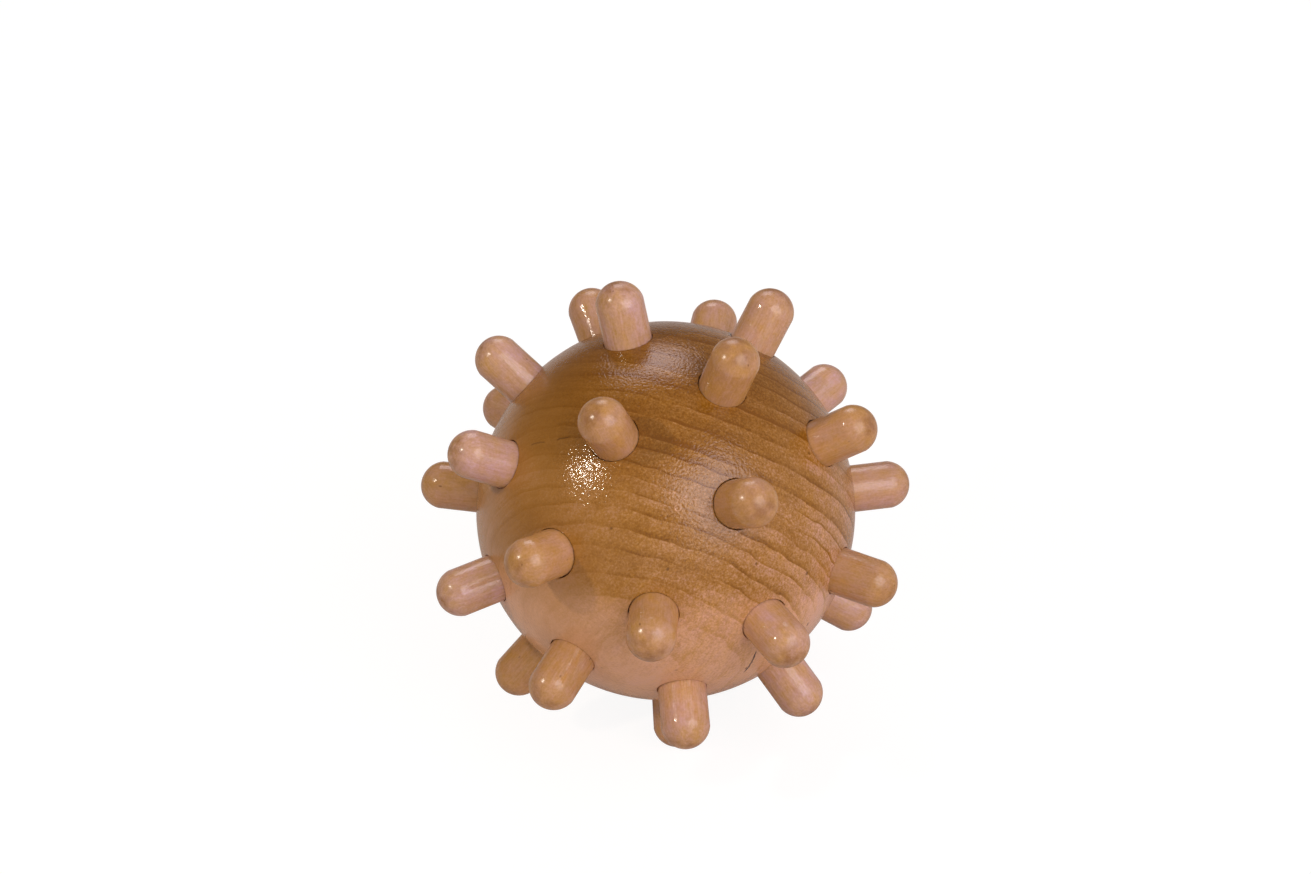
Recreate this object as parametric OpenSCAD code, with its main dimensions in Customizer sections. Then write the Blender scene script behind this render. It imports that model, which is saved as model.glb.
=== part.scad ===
// Wooden massage ball: a turned ball with round-nosed pegs glued into blind holes.
// The pegs stand on rings about one axis of the ball, with a single peg at each pole.
// The ball rests on its bottom peg and two pegs of the lower ring, so that axis leans.
// The origin is on the table, straight below the ball's centre.

/* [Ball] */
// Diameter of the turned ball
ball_d = 64; // [52:1:90]

/* [Pegs] */
// Diameter of a peg's shank
peg_d = 8; // [6:0.5:10]
// Cut length of a peg, from its flat end to the top of its nose
peg_len = 20; // [16:1:24]
// Height that a peg stands out of the ball
peg_stand = 10; // [7:0.5:13]
// How much larger the nose's radius is than the shank's, which leaves a faint shoulder
nose_swell = 0.05; // [0.01:0.01:0.3]
// Chamfer round the flat end that goes into the hole
end_chamfer = 0.8; // [0.3:0.1:1.5]

/* [Holes] */
// Radial clearance of a hole round its peg, taken up by glue
glue_gap = 0.15; // [0.05:0.05:0.3]
// Diameter of the pit that the drill's centre point leaves in a hole's floor
pit_d = 2.4; // [1:0.1:4]
// Depth of that pit
pit_depth = 1.2; // [0.3:0.1:2]

/* [Upper rings] */
// Pegs on the upper ring
upper_count = 5; // [3:1:5]
// Angle from the top peg down to the upper ring
upper_polar = 36.5; // [34:0.5:38]
// Turn of the upper ring about the axis
upper_turn = 22.5; // [0:0.5:72]
// Pegs on the ring above the middle
upper_middle_count = 10; // [6:1:10]
// Angle from the top peg down to the ring above the middle
upper_middle_polar = 73.5; // [70:0.5:76]
// Turn of the ring above the middle about the axis
upper_middle_turn = 1; // [0:0.5:36]

/* [Lower rings] */
// Pegs on the ring below the middle
lower_middle_count = 10; // [6:1:10]
// Angle from the top peg down to the ring below the middle
lower_middle_polar = 105.5; // [104:0.5:108]
// Turn of the ring below the middle about the axis
lower_middle_turn = 20; // [0:0.5:36]
// Pegs on the lower ring
lower_count = 5; // [3:1:5]
// Angle from the top peg down to the lower ring
lower_polar = 140; // [138:0.5:143]

/* [Stand] */
// Turn of the whole ball on the table
heading = -30; // [-180:1:180]

/* [Hidden] */
ball_r = ball_d / 2;
peg_r = peg_d / 2;
nose_r = peg_r + nose_swell;
tip_r = ball_r + peg_stand;
seat_r = tip_r - peg_len;
hole_r = peg_r + glue_gap;
// The lower ring is turned so that two of its pegs straddle the side that the ball leans to
lower_turn = 180 / lower_count;
// Lean of the ring axis that brings the bottom peg and those two down to one level
lean = atan(tan((180 - lower_polar) / 2) / cos(lower_turn));
rest_height = (tip_r - nose_r) * cos(lean) + nose_r;
// Each ring as [name, pegs, angle from the top peg, turn about the axis]
RINGS = [
    ["top_peg", 1, 0, 0],
    ["upper_peg", upper_count, upper_polar, upper_turn],
    ["upper_middle_peg", upper_middle_count, upper_middle_polar, upper_middle_turn],
    ["lower_middle_peg", lower_middle_count, lower_middle_polar, lower_middle_turn],
    ["lower_peg", lower_count, lower_polar, lower_turn],
    ["bottom_peg", 1, 180, 0]
];
function peg_name(ring, i) = ring[1] == 1 ? ring[0] : str(ring[0], "_", i + 1);
round_facets = 64;
ball_facets = 128;
ball_colour = [0.62, 0.40, 0.17];
peg_colour = [0.74, 0.52, 0.34];

// Stands the ball on its three lowest pegs
module stand() {
    translate([0, 0, rest_height])
        rotate([0, 0, heading])
            rotate([0, lean, 0])
                children();
}

// Turns what stands on +Z out along a peg's own line from the ball's centre
module along_peg(ring, i) {
    rotate([0, ring[2], ring[3] + i * 360 / ring[1]])
        children();
}

// Blind hole with a flat floor and the pit of the drill's centre point
module peg_hole() {
    translate([0, 0, seat_r])
        cylinder(r = hole_r, h = tip_r - seat_r, $fn = round_facets);
    translate([0, 0, seat_r - pit_depth])
        cylinder(r1 = 0, r2 = pit_d / 2, h = pit_depth, $fn = round_facets);
}

module ball() {
    color(ball_colour)
        stand()
            difference() {
                sphere(r = ball_r, $fn = ball_facets);
                for (ring = RINGS)
                    for (i = [0 : ring[1] - 1])
                        along_peg(ring, i)
                            peg_hole();
            }
}

// Peg on +Z: chamfered flat end on the hole's floor, straight shank and round nose
module peg() {
    translate([0, 0, seat_r])
        cylinder(r1 = peg_r - end_chamfer, r2 = peg_r, h = end_chamfer, $fn = round_facets);
    intersection() {
        translate([0, 0, seat_r + end_chamfer])
            cylinder(r = peg_r, h = peg_len - end_chamfer, $fn = round_facets);
        union() {
            translate([0, 0, seat_r])
                cylinder(r = 2 * nose_r, h = peg_len - nose_r, $fn = round_facets);
            translate([0, 0, tip_r - nose_r])
                sphere(r = nose_r, $fn = round_facets);
        }
    }
}

module ring_peg(ring, i) {
    color(peg_colour)
        stand()
            along_peg(ring, i)
                peg();
}

ball();
for (ring = RINGS)
    for (i = [0 : ring[1] - 1])
        ring_peg(ring, i);
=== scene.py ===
"""Wooden massage ball: a turned, lacquered ball set all round with round-nosed wooden pegs."""

import itertools
import math
from types import SimpleNamespace

import bmesh
import bpy
import numpy as np
from mathutils import Matrix, Vector


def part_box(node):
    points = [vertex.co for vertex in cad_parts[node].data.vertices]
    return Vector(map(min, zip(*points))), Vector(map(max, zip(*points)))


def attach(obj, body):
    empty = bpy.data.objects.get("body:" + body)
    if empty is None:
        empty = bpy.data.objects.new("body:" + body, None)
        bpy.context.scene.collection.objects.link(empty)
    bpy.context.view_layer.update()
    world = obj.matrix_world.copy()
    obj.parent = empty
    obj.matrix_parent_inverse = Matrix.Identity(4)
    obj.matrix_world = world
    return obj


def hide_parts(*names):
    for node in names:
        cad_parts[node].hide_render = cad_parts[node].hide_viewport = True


bl_info = {
    "name": "Wooden Massage Ball",
    "version": (1, 0, 0),
    "blender": (4, 5, 0),
    "location": "3D View > Sidebar > Massage Ball",
    "description": "Lacquered wooden ball with round-nosed pegs, on its packed frame",
    "category": "Object",
}

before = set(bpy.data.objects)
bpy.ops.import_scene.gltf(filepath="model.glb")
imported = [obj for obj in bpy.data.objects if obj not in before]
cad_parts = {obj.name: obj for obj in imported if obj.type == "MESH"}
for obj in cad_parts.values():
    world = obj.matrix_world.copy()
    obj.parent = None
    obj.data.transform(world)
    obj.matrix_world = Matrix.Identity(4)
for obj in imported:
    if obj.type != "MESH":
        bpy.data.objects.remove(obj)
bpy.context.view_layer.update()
MM = 0.001
SEED = 7
BODY = "root"
BALL = "ball"
PEGS = sorted(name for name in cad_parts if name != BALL)
LOW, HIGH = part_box(BALL)
# The origin stands straight below the ball's centre, and no hole opens at its top or bottom
BALL_R = (HIGH.z - LOW.z) / 2
CENTRE = np.array([0.0, 0.0, (HIGH.z + LOW.z) / 2])


# ---------------------------------------------------------------- places and sizes


def unit(vectors):
    """Each vector divided by its length."""
    return vectors / np.linalg.norm(vectors, axis=-1, keepdims=True)


def heading(turn, height):
    """Unit vector at a turn from the front towards the right and a height, both in degrees.

    It is (sin(turn) * cos(height), -cos(turn) * cos(height), sin(height))."""
    turn, height = math.radians(turn), math.radians(height)
    level = math.cos(height)
    return np.array([math.sin(turn) * level, -math.cos(turn) * level, math.sin(height)])


def node_triangles(node):
    """Corners of a CAD node's triangles from the ball's centre, as an array (triangles, 3, 3)."""
    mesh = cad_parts[node].data
    mesh.calc_loop_triangles()
    points = np.empty(3 * len(mesh.vertices))
    mesh.vertices.foreach_get("co", points)
    corners = np.empty(3 * len(mesh.loop_triangles), np.int32)
    mesh.loop_triangles.foreach_get("vertices", corners)
    return (points.reshape(-1, 3) - CENTRE)[corners].reshape(-1, 3, 3)


def measure_peg(node):
    """A peg's axis, and the distances along it of its flat end and its tip, and its radius.

    The axis runs from the ball's centre through the middle of the peg's surface, which is
    the mean of its triangles' middles weighted by their areas."""
    triangles = node_triangles(node)
    sides = triangles[:, 1:] - triangles[:, :1]
    areas = np.linalg.norm(np.cross(sides[:, 0], sides[:, 1]), axis=1)
    axis = unit((triangles.mean(axis=1) * areas[:, None]).sum(axis=0))
    points = triangles.reshape(-1, 3)
    along = points @ axis
    across = np.linalg.norm(points - np.outer(along, axis), axis=1)
    return axis, along.min(), along.max(), across.max()


MEASURED = [measure_peg(name) for name in PEGS]
PEG_AXES = np.array([measure[0] for measure in MEASURED])
SEAT, TIP, PEG_R = (float(np.mean([measure[part] for measure in MEASURED])) for part in (1, 2, 3))

# The pegs of the most golden and of the palest wood. The others lie between the two
GOLDEN_PEGS = {
    "top_peg", "upper_peg_1", "upper_peg_4", "upper_peg_5", "upper_middle_peg_1",
    "upper_middle_peg_8", "upper_middle_peg_9", "lower_middle_peg_6", "lower_middle_peg_8",
    "lower_peg_2", "lower_peg_4",
}
PALE_PEGS = {
    "upper_peg_3", "upper_middle_peg_3", "upper_middle_peg_6", "upper_middle_peg_7",
    "lower_middle_peg_1", "lower_middle_peg_7", "lower_middle_peg_10",
}
# The share of golden wood in each kind of peg, and how much of it is left to chance
GOLDEN_SHARE, PALE_SHARE, MIDDLE_SHARE, CHANCE_SHARE = 0.9, 0.0, 0.4, 0.1
# The side on which every peg is darker: painted shade on its left and lower flank
SHADED_SIDE = unit(np.array([-0.85, -0.25, -0.45]))
# How far each nose is rounded off its peg's axis, and how far apart in the log the pegs
# may have been cut, both in millimetres
NOSE_LEAN = 0.05
CUT_APART = 400
# Points closer together than this many millimetres are one
SAME_POINT = 0.0005


# ---------------------------------------------------------------- properties


def length(name, description, default_mm):
    """A length property with its default given in millimetres."""
    return bpy.props.FloatProperty(
        name=name, description=description, default=default_mm * MM, unit="LENGTH", precision=5
    )


def colour(name, description, default):
    """A colour property."""
    return bpy.props.FloatVectorProperty(
        name=name, description=description, default=default, subtype="COLOR", min=0, max=1
    )


def share(name, description, default):
    """A property between none and all."""
    return bpy.props.FloatProperty(
        name=name, description=description, default=default, subtype="FACTOR", min=0, max=1
    )


class BallSettings(bpy.types.PropertyGroup):
    """Sizes and finish of the turned ball."""

    hole_gap: length("Hole gap", "Clearance of a hole round its peg", 0.11)
    hole_shift: length("Hole shift", "How far a hole's centre may lie off its peg's axis", 0.07)
    rim_round: length("Rim rounding", "Radius of the worn edge of a hole", 0.09)
    pit_radius: length("Pit radius", "Radius of the drill point's pit in a hole's floor", 1.2)
    pit_depth: length("Pit depth", "Depth of that pit", 1.2)
    dark: colour("Dark wood", "The darkest of the ball's wood", (0.20, 0.068, 0.001))
    golden: colour("Golden wood", "Wood of most of the ball", (0.373, 0.165, 0.032))
    # The pale wood of the lower side is partly painted light from the floor's bounce
    pale: colour("Pale wood", "Wood of the lower side", (0.70, 0.375, 0.205))
    wide_ring: length("Wide rings", "Width of the growth rings near the pith", 3.3)
    narrow_ring: length("Narrow rings", "Width of the growth rings further out", 2.12)
    orange_peel: length("Orange peel", "Height of the lacquer's fine relief", 0.0185)
    roughness: share("Roughness", "Roughness of the lacquer", 0.11)


class PegSettings(bpy.types.PropertyGroup):
    """Sizes and finish of the pegs."""

    nose_swell: length("Nose swell", "How much larger the nose's radius is than the shank's", 0.05)
    chamfer: length("Chamfer", "Chamfer round the flat end in the hole", 0.8)
    pale: colour("Pale wood", "Wood of the palest pegs", (0.60, 0.342, 0.215))
    golden: colour("Golden wood", "Wood of the most golden pegs", (0.53, 0.272, 0.10))
    # The end grain colour also carries the painted shade on each peg's shaded flank
    end_grain: colour(
        "End grain", "Wood at the tip, where the lacquer soaks in", (0.33, 0.148, 0.045)
    )
    relief: length("Relief", "Height of the lacquer's fine relief on a shank", 0.012)
    roughness: share("Roughness", "Roughness of the lacquer", 0.13)


class StudioSettings(bpy.types.PropertyGroup):
    """Camera, lamps and floor."""

    lens: bpy.props.FloatProperty(
        name="Lens", description="Focal length", default=72.23, unit="CAMERA"
    )
    floor_size: length("Floor radius", "Radius of the floor", 3000)
    floor: colour("Floor colour", "Diffuse colour of the floor", (0.62, 0.555, 0.505))
    ambient: share("Ambient", "Brightness of the dim room round the lamps", 0.42)
    horizon: bpy.props.FloatProperty(
        name="Horizon",
        description="Brightness of the room low down on the lit side",
        default=0.5,
        min=0,
    )


class MassageBallSettings(bpy.types.PropertyGroup):
    """All that a user would change."""

    ball: bpy.props.PointerProperty(type=BallSettings)
    pegs: bpy.props.PointerProperty(type=PegSettings)
    studio: bpy.props.PointerProperty(type=StudioSettings)


# ---------------------------------------------------------------- meshes


def slerp(start, end, steps):
    """Points at even angles on the great circle from start to end, as (arcs, steps + 1, 3).

    A point is start * sin((1 - t) * angle) + end * sin(t * angle), all over sin(angle)."""
    angle = np.arccos(np.clip((start * end).sum(axis=-1), -1, 1))[:, None, None]
    t = np.linspace(0, 1, steps + 1)[None, :, None]
    from_start = np.sin((1 - t) * angle) * start[:, None]
    return (from_start + np.sin(t * angle) * end[:, None]) / np.sin(angle)


def cell_borders(axes):
    """Borders between the parts of a unit sphere that lie nearer to one axis than to the rest.

    Three axes make a corner if no other axis lies beyond their plane: the corner is that
    plane's unit normal. Two corners with two axes in common are the ends of the border
    between those two axes' cells. Returns the ends, and the two axes beside each border."""
    trios = np.array(list(itertools.combinations(range(len(axes)), 3)))
    a, b, c = axes[trios].transpose(1, 0, 2)
    normals = unit(np.cross(b - a, c - a))
    normals *= np.sign((normals * a).sum(axis=1))[:, None]
    reach = (normals * a).sum(axis=1)
    outer = (normals @ axes.T <= reach[:, None] + 1e-9).all(axis=1)
    corners, trios = normals[outer], trios[outer]
    common = (trios[:, None, :, None] == trios[None, :, None, :]).any(axis=3)
    first, second = np.nonzero(np.triu(common.sum(axis=2) == 2))
    beside = trios[first][common[first, second]].reshape(-1, 2)
    return corners[first], corners[second], beside


def hole_profile(size, surface_rows, rim_rows, crowding=1.4):
    """Section of the ball from a cell's border to the middle of its hole's floor.

    The first rows only say what share of the way to the rim they stand at, and crowd
    together towards it. The rest are (distance from the hole's axis, distance along it): a
    rounded rim that touches the sphere and the wall, which is an arc round (hole + rim,
    sqrt((ball - rim)^2 - (hole + rim)^2)), then the wall, the flat floor and the cone of
    the pit."""
    hole, rim = PEG_R + size.hole_gap, size.rim_round
    middle = np.array([hole + rim, math.sqrt((BALL_R - rim) ** 2 - (hole + rim) ** 2)])
    touch = math.atan2(middle[1], middle[0])
    turn = np.linspace(touch, math.pi, rim_rows + 1)
    arc = middle + rim * np.column_stack([np.cos(turn), np.sin(turn)])
    wall = [(hole, middle[1] + (SEAT - middle[1]) * t) for t in (0.15, 0.5, 1)]
    floor = [(size.pit_radius, SEAT), (0, SEAT - size.pit_depth)]
    shares = 1 - (1 - np.linspace(0, 1, surface_rows, endpoint=False)) ** crowding
    return shares, np.vstack([arc, wall, floor])


def ball_grid(size, steps=12, surface_rows=20, rim_rows=5):
    """Vertices and faces of the ball: one grid for each side of each border between cells.

    A column starts at a border point B and runs on the sphere towards the hole's axis H,
    at cos(angle) * H + sin(angle) * T, where T is B's unit part across H. From the rim on
    it follows the hole's profile, at along * H + across * T."""
    random = np.random.default_rng(SEED)
    shift = random.normal(size=PEG_AXES.shape)
    shift -= (shift * PEG_AXES).sum(axis=1, keepdims=True) * PEG_AXES
    holes = unit(PEG_AXES * BALL_R + unit(shift) * size.hole_shift * random.random((len(PEGS), 1)))
    start, end, beside = cell_borders(PEG_AXES)
    border = np.repeat(slerp(start, end, steps), 2, axis=0)
    owner = holes[beside.reshape(-1)][:, None]
    towards = (border * owner).sum(axis=-1, keepdims=True)
    across = unit(border - towards * owner)
    shares, profile = hole_profile(size, surface_rows, rim_rows)
    outer = np.arccos(towards)
    rim = math.atan2(profile[0, 0], profile[0, 1])
    angle = outer + (rim - outer) * shares
    surface = BALL_R * (
        np.cos(angle)[..., None] * owner[:, :, None] + np.sin(angle)[..., None] * across[:, :, None]
    )
    inside = (
        profile[:, 1][:, None] * owner[:, :, None] + profile[:, 0][:, None] * across[:, :, None]
    )
    points = np.concatenate([surface, inside], axis=2)
    return points + CENTRE, grid_faces(*points.shape[:3])


def grid_faces(grids, columns, rows, closed=False):
    """Four corners of each face of a stack of grids, each with its columns joined to the next."""
    index = np.arange(grids * columns * rows).reshape(grids, columns, rows)
    beside = np.roll(index, -1, axis=1)
    if not closed:
        index, beside = index[:, :-1], beside[:, :-1]
    quads = np.stack(
        [index[..., :-1], beside[..., :-1], beside[..., 1:], index[..., 1:]], axis=-1
    )
    return quads.reshape(-1, 4)


def peg_profile(settings, nose_rows, shank_rows):
    """Section of a peg as (distance from its axis, distance along it, share of end grain).

    A flat end with a chamfer, a straight shank, and a nose that is a part of a circle a
    little larger than the shank, so the two meet in a faint shoulder. The share of end
    grain that shows is the square of the cosine between the surface and the axis."""
    nose = PEG_R + settings.nose_swell
    start = math.asin(PEG_R / nose)
    angle = np.linspace(start, 0, nose_rows)
    dome = np.column_stack([np.sin(angle), np.cos(angle)]) * nose + (0, TIP - nose)
    chamfer = settings.chamfer
    foot = [(0, SEAT), (PEG_R - chamfer, SEAT), (PEG_R, SEAT + chamfer)]
    shank = [(PEG_R, z) for z in np.linspace(SEAT + chamfer, dome[0, 1], shank_rows)[1:-1]]
    points = np.vstack([foot, shank, dome])
    end = np.concatenate([[1, 1, 0], np.zeros(len(shank)), np.cos(angle) ** 2])
    return np.column_stack([points, end])


def peg_grid(settings, axis, random, columns=72, nose_rows=30, shank_rows=22):
    """Vertices and faces of one peg, its profile carried round its axis, and their woodwork.

    A point is along * axis + across * (cos(turn) * U + sin(turn) * V), with U and V across
    the axis. The nose leans by a little of its own, growing with the square of how far a
    point stands past the shank, as each peg is rounded by hand. The woodwork is each
    point's place in the peg, its share of end grain and how far it faces the shaded side,
    where painted shade darkens every peg."""
    profile = peg_profile(settings, nose_rows, shank_rows)
    # U is square to the frame's axis that the peg points least along
    helper = np.eye(3)[np.argmin(np.abs(axis))]
    u = unit(np.cross(axis, helper))
    v = np.cross(axis, u)
    turn = np.arange(columns) * math.tau / columns
    lean = random.normal(size=2) * NOSE_LEAN * MM
    past = np.clip((profile[:, 1] - (TIP - PEG_R)) / PEG_R, 0, 1) ** 2
    x = profile[:, 0] * np.cos(turn)[:, None] + past * lean[0]
    y = profile[:, 0] * np.sin(turn)[:, None] + past * lean[1]
    z = np.broadcast_to(profile[:, 1], x.shape)
    local = np.stack([x, y, z], axis=-1)
    points = CENTRE + local @ np.array([u, v, axis])
    end = np.broadcast_to(profile[:, 2], x.shape)
    # How far each point faces the shaded side, for the painted shade on that flank
    outward = np.cos(turn) * (u @ SHADED_SIDE) + np.sin(turn) * (v @ SHADED_SIDE)
    flank = np.broadcast_to(outward[:, None] * (profile[:, 0] / PEG_R), x.shape)
    return points[None], grid_faces(1, *x.shape, closed=True), local, end, flank


def make_piece(name, points, faces, attributes=()):
    """A smooth closed mesh object from grid points, with doubles merged and faces outwards.

    The attributes are (name, type, values) and go onto the points before they are merged."""
    mesh = bpy.data.meshes.new(name)
    mesh.from_pydata(points.reshape(-1, 3), [], faces)
    for key, kind, values in attributes:
        field = "vector" if kind == "FLOAT_VECTOR" else "value"
        layer = mesh.attributes.new(key, kind, "POINT")
        layer.data.foreach_set(field, np.ascontiguousarray(values, np.float32).reshape(-1))
    shape = bmesh.new()
    shape.from_mesh(mesh)
    bmesh.ops.remove_doubles(shape, verts=shape.verts, dist=SAME_POINT * MM)
    bmesh.ops.recalc_face_normals(shape, faces=shape.faces)
    shape.to_mesh(mesh)
    shape.free()
    mesh.shade_smooth()
    piece = bpy.data.objects.new(name, mesh)
    bpy.context.scene.collection.objects.link(piece)
    return piece


# ---------------------------------------------------------------- shader maths


class Number:
    """A number socket that takes part in Python arithmetic: each operator adds a Math node."""

    def __init__(self, tree, socket):
        self.tree, self.socket = tree, socket

    def apply(self, operation, *values):
        """The Math node named by operation on the values, in order."""
        node = self.tree.nodes.new("ShaderNodeMath")
        node.operation = operation
        for socket, value in zip(node.inputs, values):
            if isinstance(value, Number):
                self.tree.links.new(value.socket, socket)
            else:
                socket.default_value = value
        return Number(self.tree, node.outputs[0])

    def __add__(self, other):
        return self.apply("ADD", self, other)

    def __radd__(self, other):
        return self.apply("ADD", other, self)

    def __sub__(self, other):
        return self.apply("SUBTRACT", self, other)

    def __rsub__(self, other):
        return self.apply("SUBTRACT", other, self)

    def __mul__(self, other):
        return self.apply("MULTIPLY", self, other)

    def __rmul__(self, other):
        return self.apply("MULTIPLY", other, self)

    def __truediv__(self, other):
        return self.apply("DIVIDE", self, other)

    def __pow__(self, other):
        return self.apply("POWER", self, other)

    def at_least(self, other):
        return self.apply("MAXIMUM", self, other)

    def at_most(self, other):
        return self.apply("MINIMUM", self, other)

    def floor(self):
        return self.apply("FLOOR", self)

    def fraction(self):
        return self.apply("FRACT", self)

    def absolute(self):
        return self.apply("ABSOLUTE", self)

    def above(self, limit):
        return self.apply("GREATER_THAN", self, limit)


class Finish:
    """Builds the nodes of one material, world or lamp tree."""

    def __init__(self, tree):
        self.tree = tree
        tree.nodes.clear()

    def node(self, kind, settings=None, sockets=None):
        """Adds a node: its settings first, then the values or links of its sockets."""
        made = self.tree.nodes.new(kind)
        for key, value in (settings or {}).items():
            if key == "stops":
                self.set_stops(made.color_ramp, value)
            else:
                setattr(made, key, value)
        for key, value in (sockets or {}).items():
            socket = made.inputs[key]
            if isinstance(value, Number):
                value = value.socket
            if isinstance(value, bpy.types.NodeSocket):
                self.tree.links.new(value, socket)
            else:
                socket.default_value = value
        return made

    def set_stops(self, ramp, stops):
        """Gives a new colour ramp its stops, each a place and a colour, from 0 up to 1."""
        for place, _ in stops[1:-1]:
            ramp.elements.new(place)
        for element, (place, shade) in zip(ramp.elements, stops):
            element.position = place
            element.color = rgba(shade)

    def number(self, socket):
        """A socket as a number that takes part in arithmetic."""
        return Number(self.tree, socket)

    def attribute(self, name, output):
        """A socket of the mesh attribute of that name."""
        return self.node("ShaderNodeAttribute", {"attribute_name": name}).outputs[output]

    def joined(self, *parts):
        """A vector made of numbers, with 0 for those that aren't given."""
        return self.node("ShaderNodeCombineXYZ", None, dict(enumerate(parts))).outputs[0]

    def parted(self, vector):
        """The three numbers of a vector."""
        parts = self.node("ShaderNodeSeparateXYZ", None, {0: vector}).outputs
        return [self.number(part) for part in parts]

    def vector(self, operation, *values):
        """A Vector Math node's vector."""
        made = self.node(
            "ShaderNodeVectorMath", {"operation": operation}, dict(enumerate(values))
        )
        return made.outputs[0]

    def scaled(self, vector, scale):
        """A vector with each part multiplied by its own number."""
        return self.vector("MULTIPLY", vector, scale)

    def dot(self, vector, direction):
        """How far a vector reaches along a direction, as a number."""
        made = self.node(
            "ShaderNodeVectorMath", {"operation": "DOT_PRODUCT"}, {0: vector, 1: direction}
        )
        return self.number(made.outputs["Value"])

    def distance(self, vector, point):
        """Distance of a place from a point: the root of their difference times itself."""
        apart = self.vector("SUBTRACT", vector, tuple(point))
        return self.dot(apart, apart) ** 0.5

    def noise(self, vector, scale, detail=2.0, roughness=0.5):
        """A noise texture's node."""
        return self.node(
            "ShaderNodeTexNoise", None,
            {"Vector": vector, "Scale": scale, "Detail": detail, "Roughness": roughness},
        )

    def grain(self, vector, scale, detail=2.0, roughness=0.5):
        """Noise as a number that swings about 0, to roughly -1 and 1."""
        return (self.number(self.noise(vector, scale, detail, roughness).outputs[0]) - 0.5) * 4.0

    def along_log(self, q, stretch):
        """Coordinates from the ball's centre on the log's own axes, drawn out along it."""
        sides = (TO_PITH, ACROSS_LOG, ALONG_LOG * stretch)
        return self.joined(*(self.dot(q, tuple(side)) for side in sides))

    def along_peg(self, place, stretch):
        """A peg's grain coordinates, drawn out along the peg."""
        return self.scaled(place, (1.0, 1.0, stretch))

    def spots(self, vector, scale, inner, outer, rarity):
        """Mask of round spots of sizes that differ, at most one to a cell."""
        cells = self.node("ShaderNodeTexVoronoi", None, {"Vector": vector, "Scale": scale})
        parts = self.node("ShaderNodeSeparateColor", None, {0: cells.outputs["Color"]})
        chance = self.number(parts.outputs[0])
        near = 1 - self.step(self.number(cells.outputs["Distance"]), inner, outer)
        return near * self.step(chance, rarity, rarity + 0.35)

    def step(self, value, low, high):
        """0 below low and 1 above high, with a smooth change between."""
        made = self.node(
            "ShaderNodeMapRange", {"interpolation_type": "SMOOTHSTEP"},
            {"Value": value, "From Min": low, "From Max": high},
        )
        return self.number(made.outputs["Result"])

    def mix(self, factor, first, second, blend="MIX"):
        """Two colours mixed by a factor."""
        made = self.node(
            "ShaderNodeMix", {"data_type": "RGBA", "blend_type": blend},
            {0: factor, 6: first, 7: second},
        )
        return made.outputs[2]

    def blushed(self, wood, pattern):
        """Wood with less or more blue in it, as a pattern swings about 0."""
        factor = self.mix(pattern + 0.5, (1.0, 0.97, 0.5, 1), (1.0, 1.03, 1.5, 1))
        return self.mix(1.0, wood, factor, "MULTIPLY")

    def output(self, shader, kind="ShaderNodeOutputMaterial"):
        """Ends the tree with its output node."""
        self.node(kind, None, {"Surface": shader})

    def lacquered(self, wood, roughness, relief, height):
        """Ends the tree as lacquered wood, whose relief stands up to a height in metres."""
        bump = self.node(
            "ShaderNodeBump", None, {"Strength": 1.0, "Distance": height, "Height": relief}
        )
        shader = self.node(
            "ShaderNodeBsdfPrincipled", None,
            {"Base Color": wood, "Roughness": roughness, "Specular IOR Level": 0.5,
             "Normal": bump.outputs[0]},
        )
        self.output(shader.outputs[0])


def new_material(name):
    """A node material and its Finish."""
    material = bpy.data.materials.new(name)
    material.use_nodes = True
    return material, Finish(material.node_tree)


def rgba(values):
    """A colour with full alpha, as a colour socket takes it."""
    return (*values, 1.0)


# ---------------------------------------------------------------- woods


# How the ball was cut from the log, from the ball's centre, with lengths in millimetres
PITH_DISTANCE = 67.0
TO_PITH = unit(np.array([0.15, 0.975, 0.16]))
ALONG_LOG = unit(np.array([-0.54, 0.217, -0.814]))
ALONG_LOG = unit(ALONG_LOG - (ALONG_LOG @ TO_PITH) * TO_PITH)
ACROSS_LOG = np.cross(ALONG_LOG, TO_PITH)
# How much the rings' distance from the pith grows for each millimetre along the log, and the
# distances from the pith where the rings turn narrow and where the sapwood starts
LOG_TAPER = 0.107
RINGS_NARROW_FROM = 77.2
SAPWOOD_FROM = 95.8
# How far the grain wanders off its straight course
GRAIN_WANDER = 1.7
# The darkest wood lies towards one side of the ball, near its top, and there it is partly painted
# shade; the figure is strongest on another side
DARK_AND_SHADED_SIDE = unit(np.array([0.12, 0.1, 0.98]))
FIGURED_SIDE = unit(np.array([0.92, -0.2, 0.1]))
# Which of their chance forms the rings' strengths and the clouds in the wood take
RING_SEED = 5750.0
CLOUD_SEED = (137.0, 0.0, 0.0)

# The middle of a patch of richer wood, and of the ring that a bubble left in the lacquer,
# each as a turn and a height
RICH_PATCH = (-8.9, 24.4)
BUBBLE = (4.9, 38.6)
# Dark marks: the turn and height of both ends, the half width in millimetres, how far the
# middle bows out, and how dark the mark is
MARKS = (
    ((23.85, -15.0), (20.5, -26.9), 0.21, 0.25, 1.0),
    ((137.0, 52.0), (128.0, 56.5), 0.25, 0.0, 1.0),
    ((-67.3, 45.8), (-60.2, 50.0), 0.15, 0.15, 0.4),
    ((-55.5, 52.2), (-49.6, 55.0), 0.18, 0.1, 0.5),
    ((28.6, 42.4), (37.5, 34.7), 0.10, 0.2, 0.55),
)

PORE_COLOUR = (0.16, 0.056, 0.002, 1)
FLECK_COLOUR = (0.13, 0.045, 0.002, 1)
PEG_FLECK_COLOUR = (0.16, 0.06, 0.02, 1)
CRACK_COLOUR = (0.03, 0.011, 0.003, 1)


def on_ball(where):
    """The point on the ball at a turn and a height, from its centre in millimetres."""
    return heading(*where) * BALL_R / MM


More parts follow.
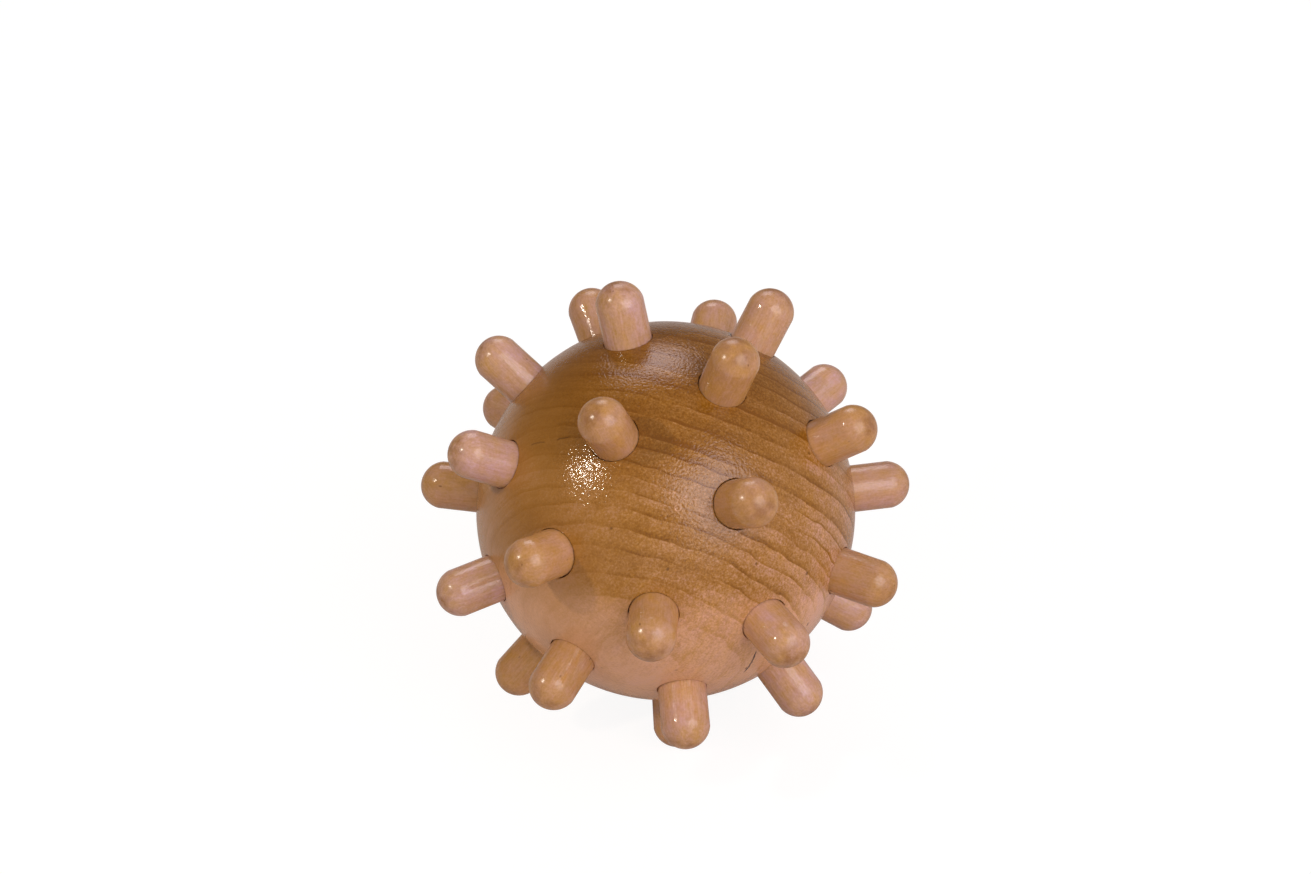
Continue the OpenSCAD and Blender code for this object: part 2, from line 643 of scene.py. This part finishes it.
def mark(f, q, start, end, half_width, bow, depth):
    """A dark line on the ball: 1 inside a strip that runs from start to end and bows aside.

    The reach is how far q lies along the strip from its middle. It lies off the strip's
    middle line by its distance aside, less a bow of (1 - (reach / half)^2), give or take a
    noise that frays the edges."""
    start, end = on_ball(start), on_ball(end)
    middle = (start + end) / 2
    along = unit(end - start)
    side = np.cross(unit(middle), along)
    half = np.linalg.norm(end - start) / 2
    reach = f.dot(q, tuple(along)) - float(middle @ along)
    off = f.dot(q, tuple(side)) + (reach * reach / half ** 2 - 1) * bow
    off = off + f.grain(q, scale=1.3, detail=1.0) * half_width * 0.35
    inside = 1 - f.step(off.absolute(), half_width * 0.4, half_width)
    inside = inside * (1 - f.step(reach.absolute(), half * 0.7, half))
    return inside * f.dot(q, tuple(middle)).above(0) * depth


def cracks(f, q):
    """Every dark mark on the ball, as the largest of their masks."""
    all_marks, *others = (mark(f, q, *each) for each in MARKS)
    for each in others:
        all_marks = all_marks.at_least(each)
    return all_marks


def growth_rings(f, settings, warped):
    """The distance from the pith, and how far the rings and finer bands shade the wood.

    A growth ring is where the distance from the pith's line, plus a taper along the log,
    has one value. It darkens slowly towards its outer edge, ends in a thin dark line, and
    then the next starts pale. Some rings are stronger than others, by chance and in
    patches."""
    x, y, z = (f.dot(warped, tuple(side)) for side in (TO_PITH, ACROSS_LOG, ALONG_LOG))
    distance = ((PITH_DISTANCE - x) ** 2 + y ** 2) ** 0.5 + LOG_TAPER * z
    uneven = f.grain(f.joined(distance), scale=0.3, detail=1.0)
    past = distance - RINGS_NARROW_FROM + uneven * 0.35
    phase = past.at_least(0) / (settings.narrow_ring / MM)
    phase = phase + past.at_most(0) / (settings.wide_ring / MM)
    saw = phase.fraction()
    line = f.step(saw, 0.76, 0.94) * (1 - f.step(saw, 0.965, 1.0))
    chance = f.number(f.node(
        "ShaderNodeTexWhiteNoise", {"noise_dimensions": "1D"}, {"W": phase.floor() + RING_SEED}
    ).outputs[0])
    patches = f.noise(f.along_log(warped, 0.5), scale=0.16, detail=3.0).outputs[0]
    patchy = f.step(f.number(patches), 0.32, 0.62)
    rings = (0.10 - 0.17 * saw - 0.18 * line) * (0.3 + 1.3 * chance) * (0.35 + 0.9 * patchy)
    layers = f.joined(distance * 0.35, y * 0.05, z * 0.03)
    return distance, rings, f.grain(layers, scale=1.0, detail=6.0, roughness=0.85)


def ball_zones(f, q, warped, distance, cloud):
    """Masks of the ball's different woods and of painted light and shade, from 0 to 1, with
    edges that the clouds blur.

    The level is how high a point lies towards the dark side, as a share of the ball's
    radius: dark wood up the back, partly painted shade, and pale sapwood below, partly
    painted light from the floor's bounce. The side is how far in millimetres it lies
    towards the figured side, and the figure is lively there and quiet in the pale wood.
    Far out on the figured side and low down, the rim is painted paler and pinker as a
    painted sheen."""
    level = f.dot(warped, tuple(DARK_AND_SHADED_SIDE)) * (MM / BALL_R) + cloud * 0.05
    side = f.dot(q, tuple(FIGURED_SIDE))
    # Pale wood: sapwood along a ring, and painted light from the floor's bounce on the lower side
    sapwood = 1 - f.step(level + (SAPWOOD_FROM - distance) * 0.02, -0.02, 0.22)
    pale = 0.55 * sapwood + 0.45 * (1 - f.step(level, -0.5, 0.3))
    figured = f.step(side, -16.0, 12.0)
    return SimpleNamespace(
        # Darker towards the top, partly painted shade
        dark=f.step(level, 0.5, 0.9),
        pale=pale,
        rich=1 - f.step(f.distance(q, on_ball(RICH_PATCH)) + cloud * 2.0, 3.0, 13.0),
        figured=figured,
        lively=(0.2 + 0.8 * figured) * (1 - 0.5 * pale),
        # Painted sheen: the lower rim on the figured side, painted paler and pinker
        right_rim_sheen=f.step(side, 16.0, 28.0) * (1 - f.step(level, 0.2, 0.55)),
        quiet_end=1 - f.step(side, -29.0, -17.0),
    )


def ball_stops(settings):
    """Stops of the colour ramp from the ball's darkest wood over the golden to the pale."""
    return (
        (0.0, settings.dark),
        (0.16, (0.245, 0.092, 0.005)),
        (0.36, (0.314, 0.13, 0.017)),
        (0.5, settings.golden),
        (0.62, (0.434, 0.207, 0.068)),
        (0.8, (0.545, 0.274, 0.115)),
        (1.0, settings.pale),
    )


def ball_wood(settings):
    """Lacquered wood of the ball, with everything measured in millimetres from its centre.

    The tone runs from 0, the darkest wood, to 1, the palest. The ball's zones and the
    patterns of the log each add their share to it, and a colour ramp makes it wood. Some
    zones are partly painted light and shade: darker towards the top, paler towards the
    bottom where the floor's bounce falls, and a paler, pinker painted sheen on the lower
    right rim."""
    material, f = new_material("lacquered_ball_wood")
    place = f.node("ShaderNodeTexCoord").outputs["Object"]
    q = f.scaled(f.vector("SUBTRACT", place, tuple(CENTRE)), (1 / MM,) * 3)
    wander = f.vector("SUBTRACT", f.noise(q, scale=0.13).outputs[1], (0.5,) * 3)
    warped = f.vector("ADD", q, f.scaled(wander, (GRAIN_WANDER,) * 3))
    distance, rings, bands = growth_rings(f, settings, warped)

    fibre_place = f.along_log(q, 0.14)
    fibres = f.grain(fibre_place, scale=2.4, detail=3.0, roughness=0.65)
    stipple = f.grain(q, scale=2.8, detail=2.0, roughness=0.65)
    cloud_place, blush_place = (
        f.vector("ADD", f.along_log(q, stretch), CLOUD_SEED) for stretch in (0.6, 0.4)
    )
    cloud = f.grain(cloud_place, scale=0.2, detail=4.0, roughness=0.6)
    blush = f.grain(blush_place, scale=0.45, detail=4.0, roughness=0.9)
    zone = ball_zones(f, q, warped, distance, cloud)

    # zone.dark is partly painted shade towards the top, and zone.pale partly painted light from the
    # floor's bounce below
    tone = 0.475 - 0.07 * zone.rich - 0.3 * zone.dark + 0.5 * zone.pale
    tone = tone + cloud * 0.08 + bands * 0.08
    # right_rim_sheen paints the lower rim on the figured side paler: a painted sheen
    tone = tone + 0.15 * zone.quiet_end + 0.10 * zone.right_rim_sheen
    tone = tone + (rings + bands * 0.16 + fibres * 0.17 + stipple * 0.26) * zone.lively
    wood = f.node("ShaderNodeValToRGB", {"stops": ball_stops(settings)}, {0: tone}).outputs[0]
    blush = (blush * 0.6 + rings * 0.9 + bands * 0.25) * zone.lively
    # The painted sheen on that rim is also painted pinker
    wood = f.blushed(wood, blush - zone.rich * 0.15 + zone.right_rim_sheen * 0.12)

    pores = f.spots(fibre_place, scale=1.15, inner=0.05, outer=0.20, rarity=0.55)
    flecks = f.spots(f.along_log(q, 0.6), scale=0.27, inner=0.04, outer=0.09, rarity=0.35)
    dark_marks = cracks(f, q)
    from_bubble = f.distance(q, on_ball(BUBBLE)) + stipple * 0.04
    bubble = f.step(from_bubble, 0.28, 0.42) * (1 - f.step(from_bubble, 0.46, 0.66))
    wood = f.mix(pores * 0.6 * zone.lively, wood, PORE_COLOUR)
    wood = f.mix(flecks * 0.75, wood, FLECK_COLOUR)
    wood = f.mix(dark_marks * 0.95, wood, CRACK_COLOUR)
    wood = f.mix(bubble * 0.5, wood, rgba(settings.pale))

    relief = f.grain(q, scale=2.3, detail=1.0) + fibres * (0.1 + 0.3 * zone.figured)
    relief = relief - pores * 0.5 - dark_marks * 0.4 + bubble * 2.0
    f.lacquered(wood, settings.roughness, relief, settings.orange_peel)
    return material


def peg_wood(settings):
    """Lacquered wood of the pegs, on each peg's own grain coordinates in millimetres.

    A peg's wood lies between the pale and the golden. It darkens to end grain where the
    lacquer soaks in, which is on the nose and in patches. It darkens the same way on the
    shaded side of every peg, which is painted shade. The patterns of the wood lighten or
    darken all of it."""
    material, f = new_material("lacquered_peg_wood")
    place = f.attribute("grain", "Vector")
    golden, end, flank = (
        f.number(f.attribute(name, "Fac")) for name in ("golden", "end_grain", "flank")
    )
    layers = f.noise(f.scaled(place, (0.9, 0.25, 0.05)), scale=1.0, detail=1.0).outputs[0]
    lines = f.step((f.number(layers) * 9.0).fraction(), 0.3, 1.0)
    fibres = f.grain(f.along_peg(place, 0.12), scale=3.2, detail=3.0, roughness=0.6)
    stipple = f.grain(place, scale=2.4, detail=2.0, roughness=0.6)
    cloud = f.grain(place, scale=0.3)
    patch = f.grain(f.along_peg(place, 0.6), scale=0.55, detail=3.0)
    blush = f.grain(f.along_peg(place, 0.7), scale=0.33, detail=4.0, roughness=0.7)
    flecks = f.spots(f.along_peg(place, 0.5), scale=0.5, inner=0.04, outer=0.10, rarity=0.5)
    shank = 1 - f.step(end, 0.02, 0.35)

    wood = f.mix(golden, rgba(settings.pale), rgba(settings.golden))
    # The flank term is painted shade on the shaded side of every peg; the end grain, cloud and
    # patch terms are lacquer soaked into the wood
    soak_and_shade = end * 0.62 + flank * 0.32 + cloud * 0.2 + patch * (0.25 + 0.6 * end) - 0.08
    wood = f.mix(soak_and_shade.at_least(0).at_most(0.95), wood, rgba(settings.end_grain))
    tone = 0.5 + cloud * 0.12 + patch * 0.12 + fibres * 0.16 + stipple * 0.15 - lines * 0.08
    shade = f.mix(tone, (0.76, 0.68, 0.30, 1), (1.24, 1.32, 1.85, 1))
    wood = f.mix(1.0, wood, shade, "MULTIPLY")
    wood = f.blushed(wood, blush * 0.5)
    wood = f.mix(flecks * 0.65, wood, PEG_FLECK_COLOUR)

    relief = f.grain(f.along_peg(place, 0.45), scale=2.2, detail=1.0)
    relief = relief * (0.35 + 0.65 * shank) - flecks * 0.3
    f.lacquered(wood, settings.roughness + 0.11 * (1 - shank), relief, settings.relief)
    return material


def peg_attributes(name, local, end, flank, random):
    """Attributes of a peg's points: place in its log, golden share, end grain, and the shaded flank
    that takes painted shade.

    The place is the point turned round the peg's axis by a chance angle and moved to a
    chance part of the log, so that no two pegs have the same figure."""
    turn = random.random() * math.tau
    cos, sin = math.cos(turn), math.sin(turn)
    turned = np.array([[cos, -sin, 0], [sin, cos, 0], [0, 0, 1]])
    grain = local / MM @ turned + random.random(3) * CUT_APART
    golden = MIDDLE_SHARE
    if name in GOLDEN_PEGS:
        golden = GOLDEN_SHARE
    elif name in PALE_PEGS:
        golden = PALE_SHARE
    golden += CHANCE_SHARE * random.random()
    return (
        ("grain", "FLOAT_VECTOR", grain),
        ("golden", "FLOAT", np.full(end.shape, golden)),
        ("end_grain", "FLOAT", end),
        ("flank", "FLOAT", flank),
    )


# ---------------------------------------------------------------- stage


# The share of the backdrop's white that the camera sees of the floor, and that gloss and
# glass see of the floor and the room
FLOOR_SEEN = 0.75
GLOSS_SEEN = 0.04
FLOOR_GLOW = 1.21
FLOOR_SIDES = 64
# Radii of the floor's rings of points, as shares of its own
FLOOR_RINGS = (0.02, 0.1, 1.0)
# The share of a lamp's width over which it fades at each edge
LAMP_EDGE = 0.3
WARM_WHITE = (1.0, 0.90, 0.78)
PINK_WHITE = (1.0, 0.91, 0.99)
# The camera's place in millimetres, the turn and height of what it faces, and its roll
CAMERA_PLACE = (3.23, -348.9, 315.33)
CAMERA_FACES = (180.5918, -36.8006)
CAMERA_ROLL = -6.1995


def backdrop_seen(f, to_camera):
    """How much of the white backdrop a ray sees: a share of it for the camera's rays, and a
    little for those in gloss or glass."""
    path = f.node("ShaderNodeLightPath")
    camera, glossy, through = (
        f.number(path.outputs[name])
        for name in ("Is Camera Ray", "Is Glossy Ray", "Is Transmission Ray")
    )
    return camera * to_camera + glossy.at_least(through) * GLOSS_SEEN


def add_lamp(name, turn, height, distance, width, radiance, tint, foot=1.0):
    """A square lamp that faces the ball, fading towards its edges.

    It stands at a turn and a height from the ball's centre, at a distance in metres. The
    radiance is that of the lamp's middle, and foot is the share of it that is left at the
    lamp's lower edge."""
    data = bpy.data.lights.new(name, "AREA")
    data.shape, data.size = "SQUARE", width
    data.energy = radiance * math.pi * width ** 2
    data.color = tint
    data.use_nodes = True
    f = Finish(data.node_tree)
    u, v, _ = f.parted(f.node("ShaderNodeNewGeometry").outputs["Parametric"])
    fade = f.step(u.at_most(1 - u), 0.0, LAMP_EDGE) * f.step(v.at_most(1 - v), 0.0, LAMP_EDGE)
    fade = fade * (v * (1 - foot) + foot)
    glow = f.node("ShaderNodeEmission", None, {"Strength": fade})
    f.output(glow.outputs[0], "ShaderNodeOutputLight")
    direction = Vector(heading(turn, height))
    lamp = bpy.data.objects.new(name, data)
    lamp.location = Vector(CENTRE) + direction * distance
    lamp.rotation_mode = "QUATERNION"
    lamp.rotation_quaternion = direction.to_track_quat("Z", "Y")
    bpy.context.scene.collection.objects.link(lamp)


def add_floor(settings):
    """A flat disc at the height that the ball rests on.

    Its points are radius * (cos(turn), sin(turn), 0), with one more in the middle."""
    turn = np.arange(FLOOR_SIDES) * math.tau / FLOOR_SIDES
    radius = settings.floor_size * np.array(FLOOR_RINGS)
    circle = np.stack([np.cos(turn), np.sin(turn), 0 * turn], axis=-1)
    points = np.vstack([(circle[:, None] * radius[:, None]).reshape(-1, 3), np.zeros(3)])
    quads = grid_faces(1, FLOOR_SIDES, len(FLOOR_RINGS), closed=True)[:, ::-1]
    inner = np.arange(FLOOR_SIDES) * len(FLOOR_RINGS)
    fan = np.column_stack([np.full(FLOOR_SIDES, len(points) - 1), inner, np.roll(inner, -1)])
    mesh = bpy.data.meshes.new("floor")
    mesh.from_pydata(points, [], [*quads.tolist(), *fan.tolist()])
    mesh.materials.append(pale_floor(settings))
    floor = bpy.data.objects.new("floor", mesh)
    bpy.context.scene.collection.objects.link(floor)


def pale_floor(settings):
    """Matt floor, which the camera sees nearly white and with the ball's faint shadow."""
    material, f = new_material("pale_floor")
    matt = f.node("ShaderNodeBsdfDiffuse", None, {"Color": rgba(settings.floor)}).outputs[0]
    glow = f.node("ShaderNodeEmission", None, {"Color": (1, 1, 1, 1), "Strength": FLOOR_GLOW})
    seen = backdrop_seen(f, FLOOR_SEEN)
    blend = f.node("ShaderNodeMixShader", None, {0: seen, 1: matt, 2: glow.outputs[0]})
    f.output(blend.outputs[0])
    return material


def add_room(scene, settings):
    """White where the camera sees it, and a dim room for every other ray.

    The room is brightest in front and towards the right, and near the horizon its light
    grows with the square of how far a ray faces that way."""
    scene.world = bpy.data.worlds.new("room")
    scene.world.use_nodes = True
    f = Finish(scene.world.node_tree)
    x, y, z = f.parted(f.node("ShaderNodeTexCoord").outputs["Generated"])
    low = (1 - z.absolute() / 0.45).at_least(0)
    facing = (0.45 + 0.3 * x - 0.5 * y).at_least(0)
    glow = settings.horizon * low * facing * facing
    glow = glow + settings.ambient * (0.2 + 0.1 * z + facing)
    grey = f.node("ShaderNodeCombineColor", None, {0: glow, 1: glow, 2: glow}).outputs[0]
    tone = f.mix(backdrop_seen(f, 1.0), grey, (1, 1, 1, 1))
    room = f.node("ShaderNodeBackground", None, {"Color": tone}).outputs[0]
    f.output(room, "ShaderNodeOutputWorld")


def add_camera(scene, settings):
    """A camera above the front edge of the floor, a little rolled."""
    data = bpy.data.cameras.new("camera")
    data.lens, data.sensor_width = settings.lens, 36
    data.clip_start, data.clip_end = 0.01, 20
    camera = bpy.data.objects.new("camera", data)
    level = Vector(heading(*CAMERA_FACES)).to_track_quat("-Z", "Y").to_matrix()
    turned = level @ Matrix.Rotation(math.radians(CAMERA_ROLL), 3, "Z")
    camera.matrix_world = Matrix.Translation(Vector(CAMERA_PLACE) * MM) @ turned.to_4x4()
    scene.collection.objects.link(camera)
    scene.camera = camera


# ---------------------------------------------------------------- operators


class MASSAGE_BALL_OT_ball(bpy.types.Operator):
    """Turn the ball, drill it and lacquer it"""

    bl_idname = "massage_ball.ball"
    bl_label = "Turned ball"

    def execute(self, context):
        settings = context.scene.massage_ball.ball
        piece = make_piece("turned_ball", *ball_grid(settings))
        piece.data.materials.append(ball_wood(settings))
        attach(piece, BODY)
        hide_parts(BALL)
        return {"FINISHED"}


class MASSAGE_BALL_OT_pegs(bpy.types.Operator):
    """Turn a round-nosed peg for every hole"""

    bl_idname = "massage_ball.pegs"
    bl_label = "Round-nosed pegs"

    def execute(self, context):
        settings = context.scene.massage_ball.pegs
        wood = peg_wood(settings)
        random = np.random.default_rng(SEED)
        for name, axis in zip(PEGS, PEG_AXES):
            points, faces, *woodwork = peg_grid(settings, axis, random)
            attributes = peg_attributes(name, *woodwork, random)
            piece = make_piece("turned_" + name, points, faces, attributes)
            piece.data.materials.append(wood)
            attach(piece, BODY)
            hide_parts(name)
        return {"FINISHED"}


class MASSAGE_BALL_OT_stage(bpy.types.Operator):
    """Set up the floor, the soft lamps and the camera"""

    bl_idname = "massage_ball.stage"
    bl_label = "Stage"

    def execute(self, context):
        scene, settings = context.scene, context.scene.massage_ball.studio
        scene.view_settings.view_transform = "Standard"
        add_floor(settings)
        add_room(scene, settings)
        add_lamp(
            "key_lamp", turn=-73, height=45, distance=1.0, width=0.09, radiance=212.0,
            tint=WARM_WHITE,
        )
        add_lamp(
            "front_box", turn=40, height=36, distance=0.55, width=0.60, radiance=4.1,
            tint=PINK_WHITE, foot=0.5,
        )
        add_lamp(
            "back_box", turn=179, height=41, distance=0.9, width=0.58, radiance=3.95,
            tint=PINK_WHITE, foot=0.6,
        )
        add_camera(scene, settings)
        return {"FINISHED"}


class MASSAGE_BALL_PT_panel(bpy.types.Panel):
    """Lists the pieces of the massage ball and their settings."""

    bl_label = "Massage Ball"
    bl_idname = "MASSAGE_BALL_PT_panel"
    bl_space_type = "VIEW_3D"
    bl_region_type = "UI"
    bl_category = "Massage Ball"

    def draw(self, context):
        for operator, group in zip(STEPS, ("ball", "pegs", "studio")):
            box = self.layout.box()
            box.operator(operator.bl_idname)
            settings = getattr(context.scene.massage_ball, group)
            for key in settings.bl_rna.properties.keys():
                if key not in ("rna_type", "name"):
                    box.prop(settings, key)


STEPS = (MASSAGE_BALL_OT_ball, MASSAGE_BALL_OT_pegs, MASSAGE_BALL_OT_stage)
SETTINGS = (BallSettings, PegSettings, StudioSettings, MassageBallSettings)
CLASSES = (*SETTINGS, *STEPS, MASSAGE_BALL_PT_panel)


def register():
    """Registers the classes and hangs the settings on the scene."""
    for cls in CLASSES:
        bpy.utils.register_class(cls)
    bpy.types.Scene.massage_ball = bpy.props.PointerProperty(type=MassageBallSettings)


def unregister():
    """Takes back what register did."""
    del bpy.types.Scene.massage_ball
    for cls in reversed(CLASSES):
        bpy.utils.unregister_class(cls)


def main():
    """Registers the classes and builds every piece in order."""
    register()
    bpy.ops.massage_ball.ball()
    bpy.ops.massage_ball.pegs()
    bpy.ops.massage_ball.stage()


if __name__ == "__main__":
    main()
